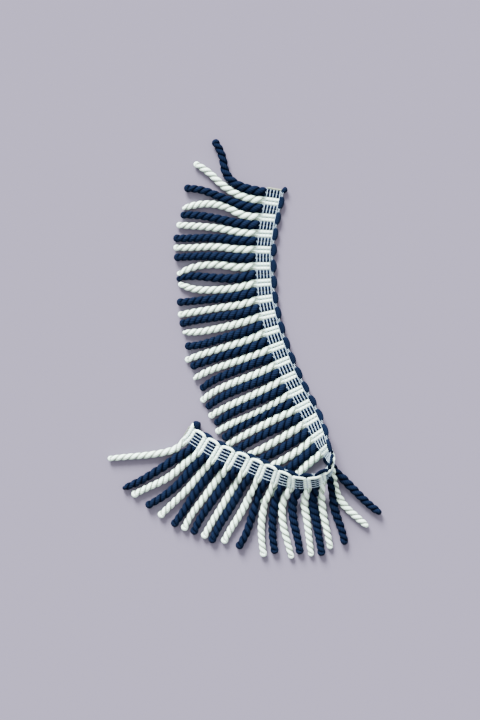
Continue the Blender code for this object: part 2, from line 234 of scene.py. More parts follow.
# The cut ends of the cords, past the outermost legs. Each place has its strand, and its distance
# across, its depth and the cord's radius, in millimetres.
STUBS = {
    ("navy", "start"): (
        (-0.92, 20.9, 0.7, 0.5), (-0.89, 20.6, 0.7, 1.7), (-0.76, 19.6, 0.7, 2.75),
        (-0.55, 18.3, 0.6, 2.6), (-0.34, 16.9, 0.3, 2.0)),
    ("navy", "end"): (
        (54.42, 16.4, 0.7, 2.1), (54.60, 18.0, 0.8, 3.0), (54.80, 19.6, 0.6, 3.9),
        (54.98, 21.2, 0.4, 4.1), (55.10, 22.6, 0.4, 3.5), (55.15, 23.5, 0.4, 1.2)),
    ("ivory", "start"): (
        (0.5, 17.6, -1.2, 0.5), (0.54, 17.2, -1.2, 1.5), (0.64, 16.2, -0.9, 1.9)),
    ("ivory", "end"): (
        (55.25, 15.4, 0.0, 2.1), (55.27, 17.4, 0.0, 2.0), (55.3, 19.2, 0.0, 1.6),
        (55.3, 19.8, 0.0, 0.5)),
}
STUB_RINGS = 3
# The last strand bows outwards round its bend, this far at most, and from so far before and after.
LAST_BOW = 2.2 * MM
LAST_BOW_REACH = 12.0 * MM

# The warp, woven flat. A thread has a ring at each step, in strands. It rides over a navy strand's
# legs and sinks into an ivory one's: how far from the heading's middle it lies, in millimetres, at
# these distances from the strand.
THREAD_STEP = 1 / 14
OVER_NAVY = ((0, 2.1), (0.12, 2.37), (0.25, 2.42), (0.38, 2.32), (0.5, 1.75))
OVER_IVORY = ((0, 1.92), (0.15, 1.80), (0.5, 1.75))
# A thread's place across, its face, its side of the pair and its width.
WarpThread = namedtuple("WarpThread", "across face side width")
# How far each thread of a pair lies from its line: over and beside the legs, and between the two
# legs of a navy strand, within this many strands of its middle.
PAIR_OVER_LEG = 0.12 * MM
PAIR_BESIDE_LEG = 0.15 * MM
PAIR_BETWEEN_LEGS = 0.42 * MM
BACK_PAIR = 0.09 * MM
BACK_BETWEEN_LEGS = 0.26 * MM
BETWEEN_REACH = 0.11
# Each edge has a crossed pair, which sinks at ivory strands and has one thread over the other by
# turns: how far across it lies, and how far its threads swing apart.
EDGE_SUNK = 1.2 * MM
EDGE_CROSSING = 0.12 * MM
EDGE_LINES = ((0.25 * MM, 0.25 * MM), (16.8 * MM, 0.85 * MM))

# The glue at each cut end: the strands that its bar spans, and its reach across and in depth, in
# millimetres. Its lumps move it by up to this much each way, and it stays off the surface.
GlueBar = namedtuple("GlueBar", "strands across depth")
GLUE_BARS = (
    GlueBar((FIRST_END - 0.14, FIRST_END + 0.17), (0.6, 15.5), (-2.75, 2.75)),
    GlueBar((LAST_END - 0.02, LAST_END + 0.14), (0.9, 15.0), (0.4, 2.75)),
)
GLUE_CUTS = 40
GLUE_ROUNDING = 2
GLUE_LUMPS = (0.25, 0.45, 0.15)
GLUE_LOWEST = 0.2 * MM

# Each cord's wrap of yarn: its depth, the length of one turn, how many threads wind side by side,
# less than none for the other hand, and how much the cord shines.
Wrap = namedtuple("Wrap", "depth pitch starts shine")
WRAPS = {
    "navy": Wrap(0.4 * MM, 1.9 * MM, -5, 0.0),
    "ivory": Wrap(0.3 * MM, 1.9 * MM, -5, 0.1),
    "warp": Wrap(0.08 * MM, 0.7 * MM, 1, 0.15),
}
# The scales of the fibres, of the patches and lumps, and of the card's tooth, a metre.
FIBRE_SCALE = 1400.0
PATCH_SCALE = 420.0
TOOTH_SCALE = 900.0
# A yarn's colour runs from shade to full over this range of its painted shade between threads and
# random patches, and its painted crease shade lifts over this range of its crease shade mask.
THREAD_SHADE_AND_TONE_RANGE = (0.2, 0.75)
CREASE_SHADE_RANGE = (0.08, 0.95)
CREASE_SHADE_FALL = 1.3
YARN_ROUGHNESS = (0.78, 0.95)
# The warp's shade and crease colours: painted shade between its threads, with random patches, and
# in its creases.
WARP_SHADE = 0.88
WARP_CREASE_SHADE = 0.7
GLUE_SHADE = 0.7

PHOTO_HEIGHT = 720
PIXEL = 1.016 * MM
PHOTO_CENTRE = (-4.2 * MM, -11.6 * MM)
CAMERA_HEIGHT = 2.4
CARD_HALF = 12.0
KEY_SPREAD = 26
KEY_FROM = (-0.35, 1.0, 0.6)
# The room is this much brighter towards the fringe's first end, and as much darker the other way.
ROOM_TILT = 0.6


def smooth_through(at, values):
    """A smooth curve through the values that never swings past them, as a function."""
    rise = np.diff(values) / np.diff(at)
    slopes = np.zeros(len(at))
    same_way = rise[1:] * rise[:-1] > 0
    slopes[1:-1][same_way] = (2 * rise[1:] * rise[:-1])[same_way] / (rise[1:] + rise[:-1])[same_way]
    slopes[0] = rise[0]
    slopes[-1] = rise[-1]

    def read(x):
        x = min(max(x, at[0]), at[-1])
        k = min(int(np.searchsorted(at, x, side="right")) - 1, len(at) - 2)
        span = at[k + 1] - at[k]
        t = (x - at[k]) / span
        first = (1 + 2 * t) * (1 - t) ** 2 * values[k] + t * (1 - t) ** 2 * span * slopes[k]
        second = t * t * (3 - 2 * t) * values[k + 1] + t * t * (t - 1) * span * slopes[k + 1]
        return float(first + second)

    return read


def eased(x):
    """From 0 to 1, slow at both ends."""
    x = min(max(x, 0.0), 1.0)
    return x * x * (3 - 2 * x)


COLUMNS = np.array(HEADING, dtype=float).T
HEADING_LINES = [smooth_through(COLUMNS[0], column) for column in COLUMNS[1:]]


@lru_cache(maxsize=None)
def along_heading(strand):
    """The heading's edge point and its directions: to the loops, along, and out of its front."""
    edge_x, edge_y, bearing_of, lean_of, height = HEADING_LINES
    edge = Vector((edge_x(strand), edge_y(strand), height(strand))) * MM
    bearing = radians(bearing_of(strand))
    lean = radians(lean_of(strand))
    to_loops = Vector((cos(lean) * cos(bearing), cos(lean) * sin(bearing), sin(lean)))
    along = Vector([line(strand + NEAR) - line(strand - NEAR) for line in (edge_x, edge_y, height)])
    along = (along - along.project(to_loops)).normalized()
    return edge, to_loops, along, along.cross(to_loops)


def in_heading(strand, across, depth):
    """The point at this strand, this far across from the edge and this far from the middle."""
    edge, to_loops, _, front = along_heading(strand)
    return edge + to_loops * across + front * depth


def lay_of(row, count):
    """Distances along a strand, its points in plan, and the heights of its root."""
    length = row.length * MM
    number = STRANDS.index(row)
    distance = np.linspace(0, length, count)
    bearings = np.interp(distance, np.linspace(0, length, 4), row[2:6])
    middle = np.radians((bearings[1:] + bearings[:-1]) / 2)
    step = np.diff(distance)
    free = in_heading(number, -STRAIGHT_ROOT, 0)
    held = distance < STRAIGHT_ROOT
    x = np.concatenate(([0], np.cumsum(np.cos(middle) * step)))
    y = np.concatenate(([0], np.cumsum(np.sin(middle) * step)))
    x += free.x - np.interp(STRAIGHT_ROOT, distance, x)
    y += free.y - np.interp(STRAIGHT_ROOT, distance, y)
    root = np.array([in_heading(number, -d, 0) for d in distance[held]])
    x[held] = root[:, 0]
    y[held] = root[:, 1]
    return distance, np.column_stack((x, y)), root[:, 2]


def plain_reach(share):
    """Half of a strand's width where nothing presses on it, at this share of its length."""
    return PLY_REACH * (1 - TIP_THINNING * share)


def apart_from(plan, other):
    """Distances in plan from each point of one strand to each of another."""
    return np.hypot(plan[:, None, 0] - other[None, :, 0], plan[:, None, 1] - other[None, :, 1])


def pressed(row, lays):
    """How much a strand is narrowed along its length by the strands beside it."""
    distance, plan, _ = lays[row.name]
    reach = plain_reach(distance / distance[-1])
    narrowed = np.ones(len(distance))
    for name, (other_distance, other, _) in lays.items():
        if name != row.name:
            other_reach = plain_reach(other_distance / other_distance[-1])
            touch = reach[:, None] + other_reach[None, :] + GAP
            narrowed = np.minimum(narrowed, (apart_from(plan, other) / touch).min(axis=1))
    return np.maximum(narrowed, MOST_PRESSED)


def resting_heights(distance, plan, reach, root_heights, laid):
    """A strand's heights: down from the heading, and over the strands laid before it."""
    held = len(root_heights)
    run = FALL_RUN if root_heights[-1] > reach[held] else RISE_RUN
    ramp = np.clip((distance - STRAIGHT_ROOT) / run, 0, 1)
    ramp = ramp * ramp * (3 - 2 * ramp)
    need = root_heights[-1] + (reach - root_heights[-1]) * ramp
    for other, heights, other_reach in laid:
        tall = reach[:, None] + other_reach[None, :] + GAP
        near = apart_from(plan, other) / (MOST_PRESSED * tall)
        over = heights[None, :] + tall * np.sqrt(np.clip(1 - near ** 2, 0, None))
        need = np.maximum(need, np.where(near < 1, over, 0).max(axis=1))
    need[:held] = 0
    climb = need[None, :] - CLIMB * np.abs(distance[:, None] - distance[None, :])
    raised = climb.max(axis=1)
    padded = np.pad(raised, HEIGHTS_AVERAGED // 2, mode="edge")
    smooth = np.convolve(padded, np.ones(HEIGHTS_AVERAGED) / HEIGHTS_AVERAGED, mode="valid")
    heights = np.maximum(need, smooth)
    heights[:held] = root_heights
    return heights


@lru_cache(maxsize=None)
def lay_strands():
    """Every strand's distances, points and half widths, by name."""
    flat = {row.name: lay_of(row, LAY_POINTS) for row in STRANDS}
    order = [row for row in STRANDS if row.name in LAID_FIRST]
    order += [row for row in STRANDS if row.name not in LAID_FIRST]
    laid = []
    found = {}
    for row in order:
        distance, plan, root_heights = flat[row.name]
        reach = plain_reach(distance / distance[-1]) * pressed(row, flat)
        heights = resting_heights(distance, plan, reach, root_heights, laid)
        laid.append((plan, heights, reach))
        found[row.name] = (distance, np.column_stack((plan, heights)), reach)
    return found


# A ring of a cord: the winding moves it from its centre by spread, turned by wind from side towards
# rise. It is flattened by flat the way that press points, and away from that way its sides get
# painted shade by crease, from 0 to 1.
Ring = namedtuple("Ring", "centre side rise wind spread thick flat press crease")
VECTORS = ("side", "rise", "press")
NUMBERS = ("wind", "spread", "thick", "flat", "crease", "along")
NOWHERE = Vector((0, 0, 0))


def plain_ring(strand, across, depth, thick, flat=1.0, crease=PLAIN_CREASE_SHADE):
    """A ring that lies in the heading, unwound."""
    front = along_heading(strand)[3]
    centre = in_heading(strand, across, depth)
    return Ring(centre, NOWHERE, NOWHERE, 0.0, 0.0, thick, flat, front, crease)


def last_bow(distance):
    """How far the last strand bows out, this far from the heading's edge."""
    return LAST_BOW * eased(1 - abs(distance - STRAIGHT_ROOT) / LAST_BOW_REACH)


def rope_middle(number, distances, sizes):
    """Points down a rope's middle, each with the way it runs and two directions across it."""
    row = STRANDS[number]
    lay_distance, lay_points, reach = lay_strands()[row.name]
    points = np.zeros((len(distances), 3))
    for shift in (-CENTRE_BLUR, CENTRE_BLUR):
        near = np.clip(distances + shift, 0, lay_distance[-1])
        for k in range(3):
            points[:, k] += np.interp(near, lay_distance, lay_points[:, k]) / 2
    fuller = [rope_half(row, d, sizes) - np.interp(d, lay_distance, reach) for d in distances]
    points[:, 2] += np.maximum(fuller, 0)
    if number == LAST:
        bows = np.array([last_bow(d) for d in distances])
        points += bows[:, None] * np.array(along_heading(number)[2])
    runs = np.gradient(points, distances, axis=0)
    side = -along_heading(number)[2]
    found = []
    for point, run in zip(points, runs):
        run = Vector(run).normalized()
        side = (side - side.project(run)).normalized()
        found.append((Vector(point), run, side.copy(), run.cross(side)))
    return found


def rope_half(row, distance, sizes):
    """Half of a rope's width here, with its knob or its point."""
    lay_distance, _, reach = lay_strands()[row.name]
    cord = CORDS["ivory" if row.name.startswith("W") else "navy"]
    share = distance / lay_distance[-1]
    half = np.interp(distance, lay_distance, reach) * sizes.rope_fullness
    half *= cord.root_full + (cord.tip_full - cord.root_full) * share
    half *= SLIM.get(row.name, 1.0)
    left = row.length * MM - distance
    if row.name in KNOBS:
        return half * (1 + KNOB_GROWTH * eased(1 - left / KNOB_LENGTH))
    taper = POINT_TAPER if row.name in POINTED else PLAIN_TAPER
    return half * (1 - taper * eased(1 - left / POINT_LENGTH))


def wound_strand(number, cord, sizes, random):
    """The rings of one strand: out along the first ply, round the tip and back along the second."""
    row = STRANDS[number]
    length = row.length * MM
    end = length - rope_half(row, length, sizes)
    count = round(end / sizes.ring_step)
    distances = np.linspace(0, end, count)
    frames = rope_middle(number, distances, sizes)
    crowns = np.interp(distances, (0, length), (CROWN_AT_ROOT, CROWN_AT_TIP))
    crowns *= 1 + TWIST_SPREAD * random.uniform(-1, 1)
    rate = pi / crowns * np.array([eased(d / cord.twisted_over) for d in distances])
    winds = -np.concatenate(([0], np.cumsum((rate[1:] + rate[:-1]) / 2 * np.diff(distances))))
    last_half = 0.5 if row.name in POINTED else 0.0
    half_turns = round(winds[-1] / pi - last_half) + last_half
    winds *= half_turns * pi / winds[-1]
    ply = SNUG_PLIES.get(row.name, PLY_WIDTH)
    outward = []
    for d, (middle, run, side, rise), wind in zip(distances, frames, winds):
        formed = eased(d / cord.twisted_over)
        half = rope_half(row, d, sizes)
        flat = 1 + (PLY_FLATTENING - 1) * formed
        thick = cord.radius + (ply * half - cord.radius) * formed
        leg_spread = LEG_OFFSET * STRAND_PITCH
        spread = leg_spread + (half * (1 - ply * PLY_FLATTENING) - leg_spread) * formed
        # Painted shade at the plies' sides grows from the legs' share to full as the rope forms.
        crease = cord.leg_crease + (1 - cord.leg_crease) * formed
        upright = abs(sin(wind))
        below = upright * (spread + thick * flat) + (1 - upright) * thick
        middle = middle + Vector((0, 0, max(below - middle.z, 0)))
        outward.append((middle, side, rise, wind, spread, thick, flat, run, crease))
    rings = [wound_ring(place, 0.0) for place in outward]
    middle, side, rise, wind, spread, thick, flat, run, _ = outward[-1]
    radial = side * cos(wind) + rise * sin(wind)
    for k in range(1, TIP_RINGS):
        turn = pi * k / TIP_RINGS
        press = radial * cos(turn) + run * sin(turn)
        rings.append(Ring(middle, radial, run, turn, spread, thick, flat, press, TIP_CREASE_SHADE))
    return rings + [wound_ring(place, pi) for place in reversed(outward)]


def wound_ring(place, half_turn):
    """A ring of the first ply, or of the second, half a turn on."""
    middle, side, rise, wind, spread, thick, flat, _, crease = place
    wind += half_turn
    press = side * cos(wind) + rise * sin(wind)
    return Ring(middle, side, rise, wind, spread, thick, flat, press, crease)


def loop_place(colour, strand):
    """Where the legs end here, and how far the loop reaches, in metres."""
    strands, ends, reaches = zip(*LOOP_PLACES[colour])
    return np.interp(strand, strands, ends) * MM, np.interp(strand, strands, reaches) * MM


def leg_rings(colour, strand):
    """A leg's rings from its loop end to the heading's edge."""
    cord = CORDS[colour]
    leg_end, _ = loop_place(colour, strand)
    count = round(leg_end / LEG_STEP)
    rings = []
    for k in range(count):
        across = leg_end * (1 - k / count)
        bow = last_bow(-across) / STRAND_PITCH if round(strand) == LAST else 0.0
        rings.append(plain_ring(strand + bow, across, 0.0, cord.radius, crease=cord.leg_crease))
    return rings


def loop_rings(colour, middle):
    """A loop's rings, over the strand in its middle, from the leg before it to the leg after it."""
    cord = CORDS[colour]
    leg_end, reach = loop_place(colour, middle)
    height = reach - cord.loop_radius - leg_end
    rings = []
    for k in range(1, LOOP_RINGS):
        turn = pi * k / LOOP_RINGS
        high = eased(sin(turn) * LOOP_RISE)
        thick = cord.loop_pinch + (cord.loop_radius - cord.loop_pinch) * sin(turn)
        flat = 1 + (cord.loop_flattening - 1) * high
        rings.append(plain_ring(middle - LOOP_HALF * cos(turn), leg_end + height * sin(turn),
                                cord.face * cord.loop_depth * high, thick, flat))
    return rings


def stub_rings(colour, end):
    """A cut end's rings, smooth through its points."""
    points = np.array(STUBS[colour, end])
    at = np.arange(len(points), dtype=float)
    lines = [smooth_through(at, column) for column in points.T]
    rings = []
    for t in np.linspace(0, at[-1], STUB_RINGS * (len(points) - 1) + 1):
        strand, across, depth, radius = (line(t) for line in lines)
        rings.append(plain_ring(strand, across * MM, depth * MM, radius * MM))
    return rings


def cord_rings(colour, sizes):
    """The whole of one cord, from its first cut end through every strand and loop to its last."""
    cord = CORDS[colour]
    random = np.random.default_rng(cord.first + TWIST_SEED)
    rings = stub_rings(colour, "start")
    for number in range(cord.first, LAST + 1, 2):
        rings += leg_rings(colour, number - LEG_OFFSET)
        rings += wound_strand(number, cord, sizes, random)
        rings += list(reversed(leg_rings(colour, number + LEG_OFFSET)))
        if number + 2 <= LAST:
            rings += loop_rings(colour, number + 1)
    return rings + stub_rings(colour, "end")


def thread_depth(strand):
    """How far from the heading's middle a warp thread lies here, in metres."""
    number = min(max(round(strand), 0), LAST)
    places = OVER_NAVY if number % 2 == 0 else OVER_IVORY
    return float(np.interp(abs(strand - number), *zip(*places))) * MM


def thread_places():
    """The strands at which a warp thread has its rings."""
    count = round((LAST_END - FIRST_END) / THREAD_STEP)
    return np.linspace(FIRST_END, LAST_END, count + 1)


def pair_spread(strand, face):
    """How far each thread of a pair lies from its line here, on the front or on the back."""
    nearest = 2 * round(strand / 2)
    between = eased(1 - abs(strand - nearest) / BETWEEN_REACH)
    if face < 0:
        return BACK_PAIR + (BACK_BETWEEN_LEGS - BACK_PAIR) * between
    beside = (1 + cos(4 * pi * strand)) / 2
    plain = PAIR_OVER_LEG + (PAIR_BESIDE_LEG - PAIR_OVER_LEG) * beside
    return plain + (PAIR_BETWEEN_LEGS - plain) * between


def warp_lines(sizes):
    """Every warp thread's rings: pairs on front and back, and crossed pairs at the edges."""
    threads = []
    for line in range(WARP_COUNT):
        across = WARP_FIRST + line * WARP_SPACING
        for face, width in ((1, sizes.front_thread_width), (-1, sizes.back_thread_width)):
            threads += [WarpThread(across, face, side, width) for side in (1, -1)]
    lines = []
    for thread in threads:
        rings = []
        for strand in thread_places():
            across = thread.across + thread.side * pair_spread(strand, thread.face)
            flat = sizes.thread_thickness / thread.width
            depth = thread.face * thread_depth(strand)
            rings.append(plain_ring(strand, across, depth, thread.width / 2, flat))
        lines.append(rings)
    for across, widest in EDGE_LINES:
        for way in (1, -1):
            rings = []
            for strand in thread_places():
                swing = way * widest * sin(2 * pi * strand)
                depth = thread_depth(strand) + way * EDGE_CROSSING * cos(2 * pi * strand)
                depth -= EDGE_SUNK * (1 - cos(pi * strand)) / 2
                width = sizes.edge_thread_width
                flat = sizes.thread_thickness / width
                rings.append(plain_ring(strand, across + swing, depth, width / 2, flat))
            lines.append(rings)
    return lines


def line_mesh(name, lines):
    """A mesh of points joined in lines, with each ring's values kept on its point."""
    rings = [ring for line in lines for ring in line]
    edges = []
    start = 0
    for line in lines:
        edges += [(k, k + 1) for k in range(start, start + len(line) - 1)]
        start += len(line)
    mesh = bpy.data.meshes.new(name)
    mesh.from_pydata([ring.centre for ring in rings], edges, [])
    for field in VECTORS:
        values = np.array([getattr(ring, field) for ring in rings], np.float32)
        attribute = mesh.attributes.new(field, "FLOAT_VECTOR", "POINT")
        attribute.data.foreach_set("vector", values.ravel())
    wound = [ring.centre + (ring.side * cos(ring.wind) + ring.rise * sin(ring.wind)) * ring.spread
             for ring in rings]
    along = np.cumsum([0.0] + [(b - a).length for a, b in zip(wound, wound[1:])])
    for field in NUMBERS:
        values = along if field == "along" else [getattr(ring, field) for ring in rings]
        attribute = mesh.attributes.new(field, "FLOAT", "POINT")
        attribute.data.foreach_set("value", np.array(values, np.float32))
    return mesh


def input_socket(tree, name, kind, default=None):
    socket = tree.interface.new_socket(name=name, in_out="INPUT", socket_type=kind)
    if default is not None:
        socket.default_value = default
    return socket


def read_attribute(tree, name, kind):
    node = tree.nodes.new("GeometryNodeInputNamedAttribute")
    node.data_type = kind
    node.inputs["Name"].default_value = name
    return node.outputs["Attribute"]


def store_attribute(tree, geometry, name, kind, value):
    node = tree.nodes.new("GeometryNodeStoreNamedAttribute")
    node.data_type = kind
    node.inputs["Name"].default_value = name
    tree.links.new(geometry, node.inputs["Geometry"])
    tree.links.new(value, node.inputs["Value"])
    return node.outputs["Geometry"]


def moved(tree, geometry, offset):
    node = tree.nodes.new("GeometryNodeSetPosition")
    tree.links.new(geometry, node.inputs["Geometry"])
    tree.links.new(offset, node.inputs["Offset"])
    return node.outputs["Geometry"]


def through(tree, kind, source, **settings):
    """The first output of a node that takes this source first."""
    node = tree.nodes.new(kind)
    for key, value in settings.items():
        node.inputs[key].default_value = value
    tree.links.new(source, node.inputs[0])
    return node.outputs[0]


def vector_math(tree, operation, first, second):
    node = tree.nodes.new("ShaderNodeVectorMath")
    node.operation = operation
    tree.links.new(first, node.inputs[0])
    slot = "Scale" if operation == "SCALE" else 1
    tree.links.new(second, node.inputs[slot])
    return node.outputs["Value" if operation == "DOT_PRODUCT" else "Vector"]


def number_math(tree, operation, first, second=None):
    node = tree.nodes.new("ShaderNodeMath")
    node.operation = operation
    for slot, value in enumerate((first, second)):
        if isinstance(value, (int, float)):
            node.inputs[slot].default_value = value
        elif value is not None:
            tree.links.new(value, node.inputs[slot])
    return node.outputs[0]


def winding_tree():
    """Nodes that wind lines of rings into cords: they offset, sweep, flatten and dress them."""
    tree = bpy.data.node_groups.new("Wind cords", "GeometryNodeTree")
    input_socket(tree, "Lines", "NodeSocketGeometry")
    input_socket(tree, "Sides", "NodeSocketInt", 14)
    input_socket(tree, "Thickness", "NodeSocketFloat", 1.0)
    input_socket(tree, "Ply spread", "NodeSocketFloat", 1.0)
    input_socket(tree, "Yarn", "NodeSocketMaterial")
    tree.interface.new_socket(name="Cords", in_out="OUTPUT", socket_type="NodeSocketGeometry")
    given = tree.nodes.new("NodeGroupInput").outputs
    finish = tree.nodes.new("NodeGroupOutput")

    turn = read_attribute(tree, "wind", "FLOAT")
    to_side = vector_math(tree, "SCALE", read_attribute(tree, "side", "FLOAT_VECTOR"),
                          number_math(tree, "COSINE", turn))
    to_rise = vector_math(tree, "SCALE", read_attribute(tree, "rise", "FLOAT_VECTOR"),
                          number_math(tree, "SINE", turn))
    outward = vector_math(tree, "ADD", to_side, to_rise)
    spread = number_math(tree, "MULTIPLY", read_attribute(tree, "spread", "FLOAT"),
                         given["Ply spread"])
    wound = moved(tree, given["Lines"], vector_math(tree, "SCALE", outward, spread))
    curve = through(tree, "GeometryNodeMeshToCurve", wound)
    here = tree.nodes.new("GeometryNodeInputPosition").outputs[0]
    curve = store_attribute(tree, curve, "middle", "FLOAT_VECTOR", here)

    circle = tree.nodes.new("GeometryNodeCurvePrimitiveCircle")
    circle.inputs["Radius"].default_value = 1.0
    tree.links.new(given["Sides"], circle.inputs["Resolution"])
    factor = tree.nodes.new("GeometryNodeSplineParameter").outputs["Factor"]
    profile = store_attribute(tree, circle.outputs["Curve"], "around", "FLOAT", factor)
    thick = number_math(tree, "MULTIPLY", read_attribute(tree, "thick", "FLOAT"),
                        given["Thickness"])
    sweep = tree.nodes.new("GeometryNodeCurveToMesh")
    sweep.inputs["Fill Caps"].default_value = True
    tree.links.new(curve, sweep.inputs["Curve"])
    tree.links.new(profile, sweep.inputs["Profile Curve"])
    tree.links.new(thick, sweep.inputs["Scale"])

    here = tree.nodes.new("GeometryNodeInputPosition").outputs[0]
    press = read_attribute(tree, "press", "FLOAT_VECTOR")
    middle = read_attribute(tree, "middle", "FLOAT_VECTOR")
    # A painted shade mask: darker towards a ring's sides, away from the way it is pressed, by its
    # crease share.
    from_middle = vector_math(tree, "SUBTRACT", here, middle)
    out = vector_math(tree, "DOT_PRODUCT", from_middle, press)
    outness = number_math(tree, "ABSOLUTE", number_math(tree, "DIVIDE", out, thick))
    deep = number_math(tree, "POWER", number_math(tree, "SUBTRACT", 1.0, outness), CREASE_SHADE_FALL)
    shaded = number_math(tree, "MULTIPLY", deep, read_attribute(tree, "crease", "FLOAT"))
    crease_shade_mask = number_math(tree, "SUBTRACT", 1.0, shaded)
    cords = store_attribute(tree, sweep.outputs["Mesh"], "crease_shade_mask", "FLOAT", crease_shade_mask)
    less = number_math(tree, "SUBTRACT", read_attribute(tree, "flat", "FLOAT"), 1.0)
    pressing = vector_math(tree, "SCALE", press, number_math(tree, "MULTIPLY", out, less))
    cords = moved(tree, cords, pressing)
    cords = through(tree, "GeometryNodeSetShadeSmooth", cords)
    cords = through(tree, "GeometryNodeRealizeInstances", cords)
    yarn = tree.nodes.new("GeometryNodeSetMaterial")
    tree.links.new(cords, yarn.inputs["Geometry"])
    tree.links.new(given["Yarn"], yarn.inputs["Material"])
    tree.links.new(yarn.outputs["Geometry"], finish.inputs["Cords"])
    return tree


def add_object(name, data):
    thing = bpy.data.objects.new(name, data)
    bpy.context.scene.collection.objects.link(thing)
    return thing


def wind(name, lines, sides, yarn):
    """A piece wound from these lines, as a plain mesh with its yarn laid along it."""
    piece = add_object(name, line_mesh(name, lines))
    tree = bpy.data.node_groups.get("Wind cords") or winding_tree()
    winding = piece.modifiers.new("Wind cords", "NODES")
    winding.node_group = tree
    values = {"Sides": sides, "Yarn": yarn}
    for item in tree.interface.items_tree:
        if item.in_out == "INPUT" and item.name in values:
            winding[item.identifier] = values[item.name]
    bpy.context.view_layer.update()
    graph = bpy.context.evaluated_depsgraph_get()
    mesh = bpy.data.meshes.new_from_object(piece.evaluated_get(graph))
    piece.modifiers.remove(winding)
    old = piece.data
    piece.data = mesh
    bpy.data.meshes.remove(old)
    mesh.name = name
    if not mesh.polygons:
        raise RuntimeError(f"{name} has no faces")
    lay_yarn(mesh)
    return piece


def lay_yarn(mesh):
    """A UV map that runs round the cord in turns and along it in metres. The ring values go."""
    around = np.empty(len(mesh.vertices), np.float32)
    along = np.empty(len(mesh.vertices), np.float32)
    mesh.attributes["around"].data.foreach_get("value", around)
    mesh.attributes["along"].data.foreach_get("value", along)
    corner = np.empty(len(mesh.loops), np.int32)
    mesh.loops.foreach_get("vertex_index", corner)
    starts = np.empty(len(mesh.polygons), np.int32)
    mesh.polygons.foreach_get("loop_start", starts)
    u = around[corner]
    wide = np.maximum.reduceat(u, starts) - np.minimum.reduceat(u, starts) > 0.5
    totals = np.diff(np.append(starts, len(corner)))
    u[np.repeat(wide, totals) & (u < 0.5)] += 1
    layer = mesh.uv_layers.new(name="Yarn")
    layer.data.foreach_set("uv", np.column_stack((u, along[corner])).astype(np.float32).ravel())
    for field in (*VECTORS, *NUMBERS, "middle", "around"):
        mesh.attributes.remove(mesh.attributes[field])


class Nodes:
    """A material's nodes, placed by short calls."""

    def __init__(self, name):
        self.material = bpy.data.materials.new(name)
        self.material.use_nodes = True
        self.tree = self.material.node_tree
        self.shader = self.tree.nodes["Principled BSDF"]
        self.place = self.add("ShaderNodeTexCoord").outputs["Object"]

    def add(self, kind, **settings):
        node = self.tree.nodes.new(kind)
        for key, value in settings.items():
            setattr(node, key, value)
        return node

    def link(self, source, target):
        self.tree.links.new(source, target)

    def math(self, operation, first, second=None):
        return number_math(self.tree, operation, first, second)

    def weighed(self, first, first_weight, second, second_weight):
        """The sum of two values, each times its weight."""
        return self.math("ADD", self.math("MULTIPLY", first, first_weight),
                         self.math("MULTIPLY", second, second_weight))

    def noise(self, scale, detail):
        """Noise on Object coordinates."""
        return through(self.tree, "ShaderNodeTexNoise", self.place, Scale=scale, Detail=detail)

    def ranged(self, value, source, target=(0.0, 1.0), kind="LINEAR"):
        """A value moved from one range to another."""
        node = self.add("ShaderNodeMapRange", interpolation_type=kind)
        for slot, bound in zip(("From Min", "From Max", "To Min", "To Max"), (*source, *target)):
            node.inputs[slot].default_value = bound
        self.link(value, node.inputs["Value"])
        return node.outputs["Result"]

    def blend(self, share, first, second):
        """A colour that is all first at a share of 0; second is a colour or an output."""
        node = self.add("ShaderNodeMix", data_type="RGBA")
        node.inputs["A"].default_value = (*first, 1)
        if isinstance(second, bpy.types.NodeSocket):
            self.link(second, node.inputs["B"])
        else:
            node.inputs["B"].default_value = (*second, 1)
        self.link(share, node.inputs["Factor"])
        return node.outputs["Result"]

    def bump(self, height, strength, distance):
        node = self.add("ShaderNodeBump")
        node.inputs["Strength"].default_value = strength
        node.inputs["Distance"].default_value = distance
        self.link(height, node.inputs["Height"])
        self.link(node.outputs["Normal"], self.shader.inputs["Normal"])


def yarn_material(name, colour, shade, crease, wrap):
    """Soft matt cord of wound threads, with painted shade between them and in its creases; a little
    uneven.
    """
    m = Nodes(name)
    uv = m.add("ShaderNodeUVMap", uv_map="Yarn")
    parts = m.add("ShaderNodeSeparateXYZ")
    m.link(uv.outputs["UV"], parts.inputs[0])
    turns = m.weighed(parts.outputs["Y"], 1 / wrap.pitch, parts.outputs["X"], wrap.starts)
    wave = m.math("SINE", m.math("MULTIPLY", turns, 2 * pi))
    wave = m.math("MULTIPLY", m.math("ADD", wave, 1.0), 0.5)
    fibres = m.noise(FIBRE_SCALE, 3.0)
    uneven = m.weighed(m.noise(PATCH_SCALE, 2.0), 0.6, fibres, 0.4)
    # Painted shade between the wound threads, mixed with random darker patches of the yarn.
    thread_shade_and_tone = m.ranged(m.weighed(wave, 0.45, uneven, 0.55), THREAD_SHADE_AND_TONE_RANGE)
    # Painted crease shade: the colour goes to the crease colour where the mask is low.
    crease_shade_mask = m.add("ShaderNodeAttribute", attribute_type="GEOMETRY", attribute_name="crease_shade_mask")
    crease_unshaded = m.ranged(crease_shade_mask.outputs["Fac"], CREASE_SHADE_RANGE, kind="SMOOTHSTEP")
    m.link(m.blend(crease_unshaded, crease, m.blend(thread_shade_and_tone, shade, colour)), m.shader.inputs["Base Color"])
    m.bump(m.weighed(wave, 0.7, fibres, 0.5), 0.8, wrap.depth)
    m.link(m.ranged(fibres, (0.0, 1.0), YARN_ROUGHNESS), m.shader.inputs["Roughness"])
    m.shader.inputs["Specular IOR Level"].default_value = wrap.shine
    return m.material


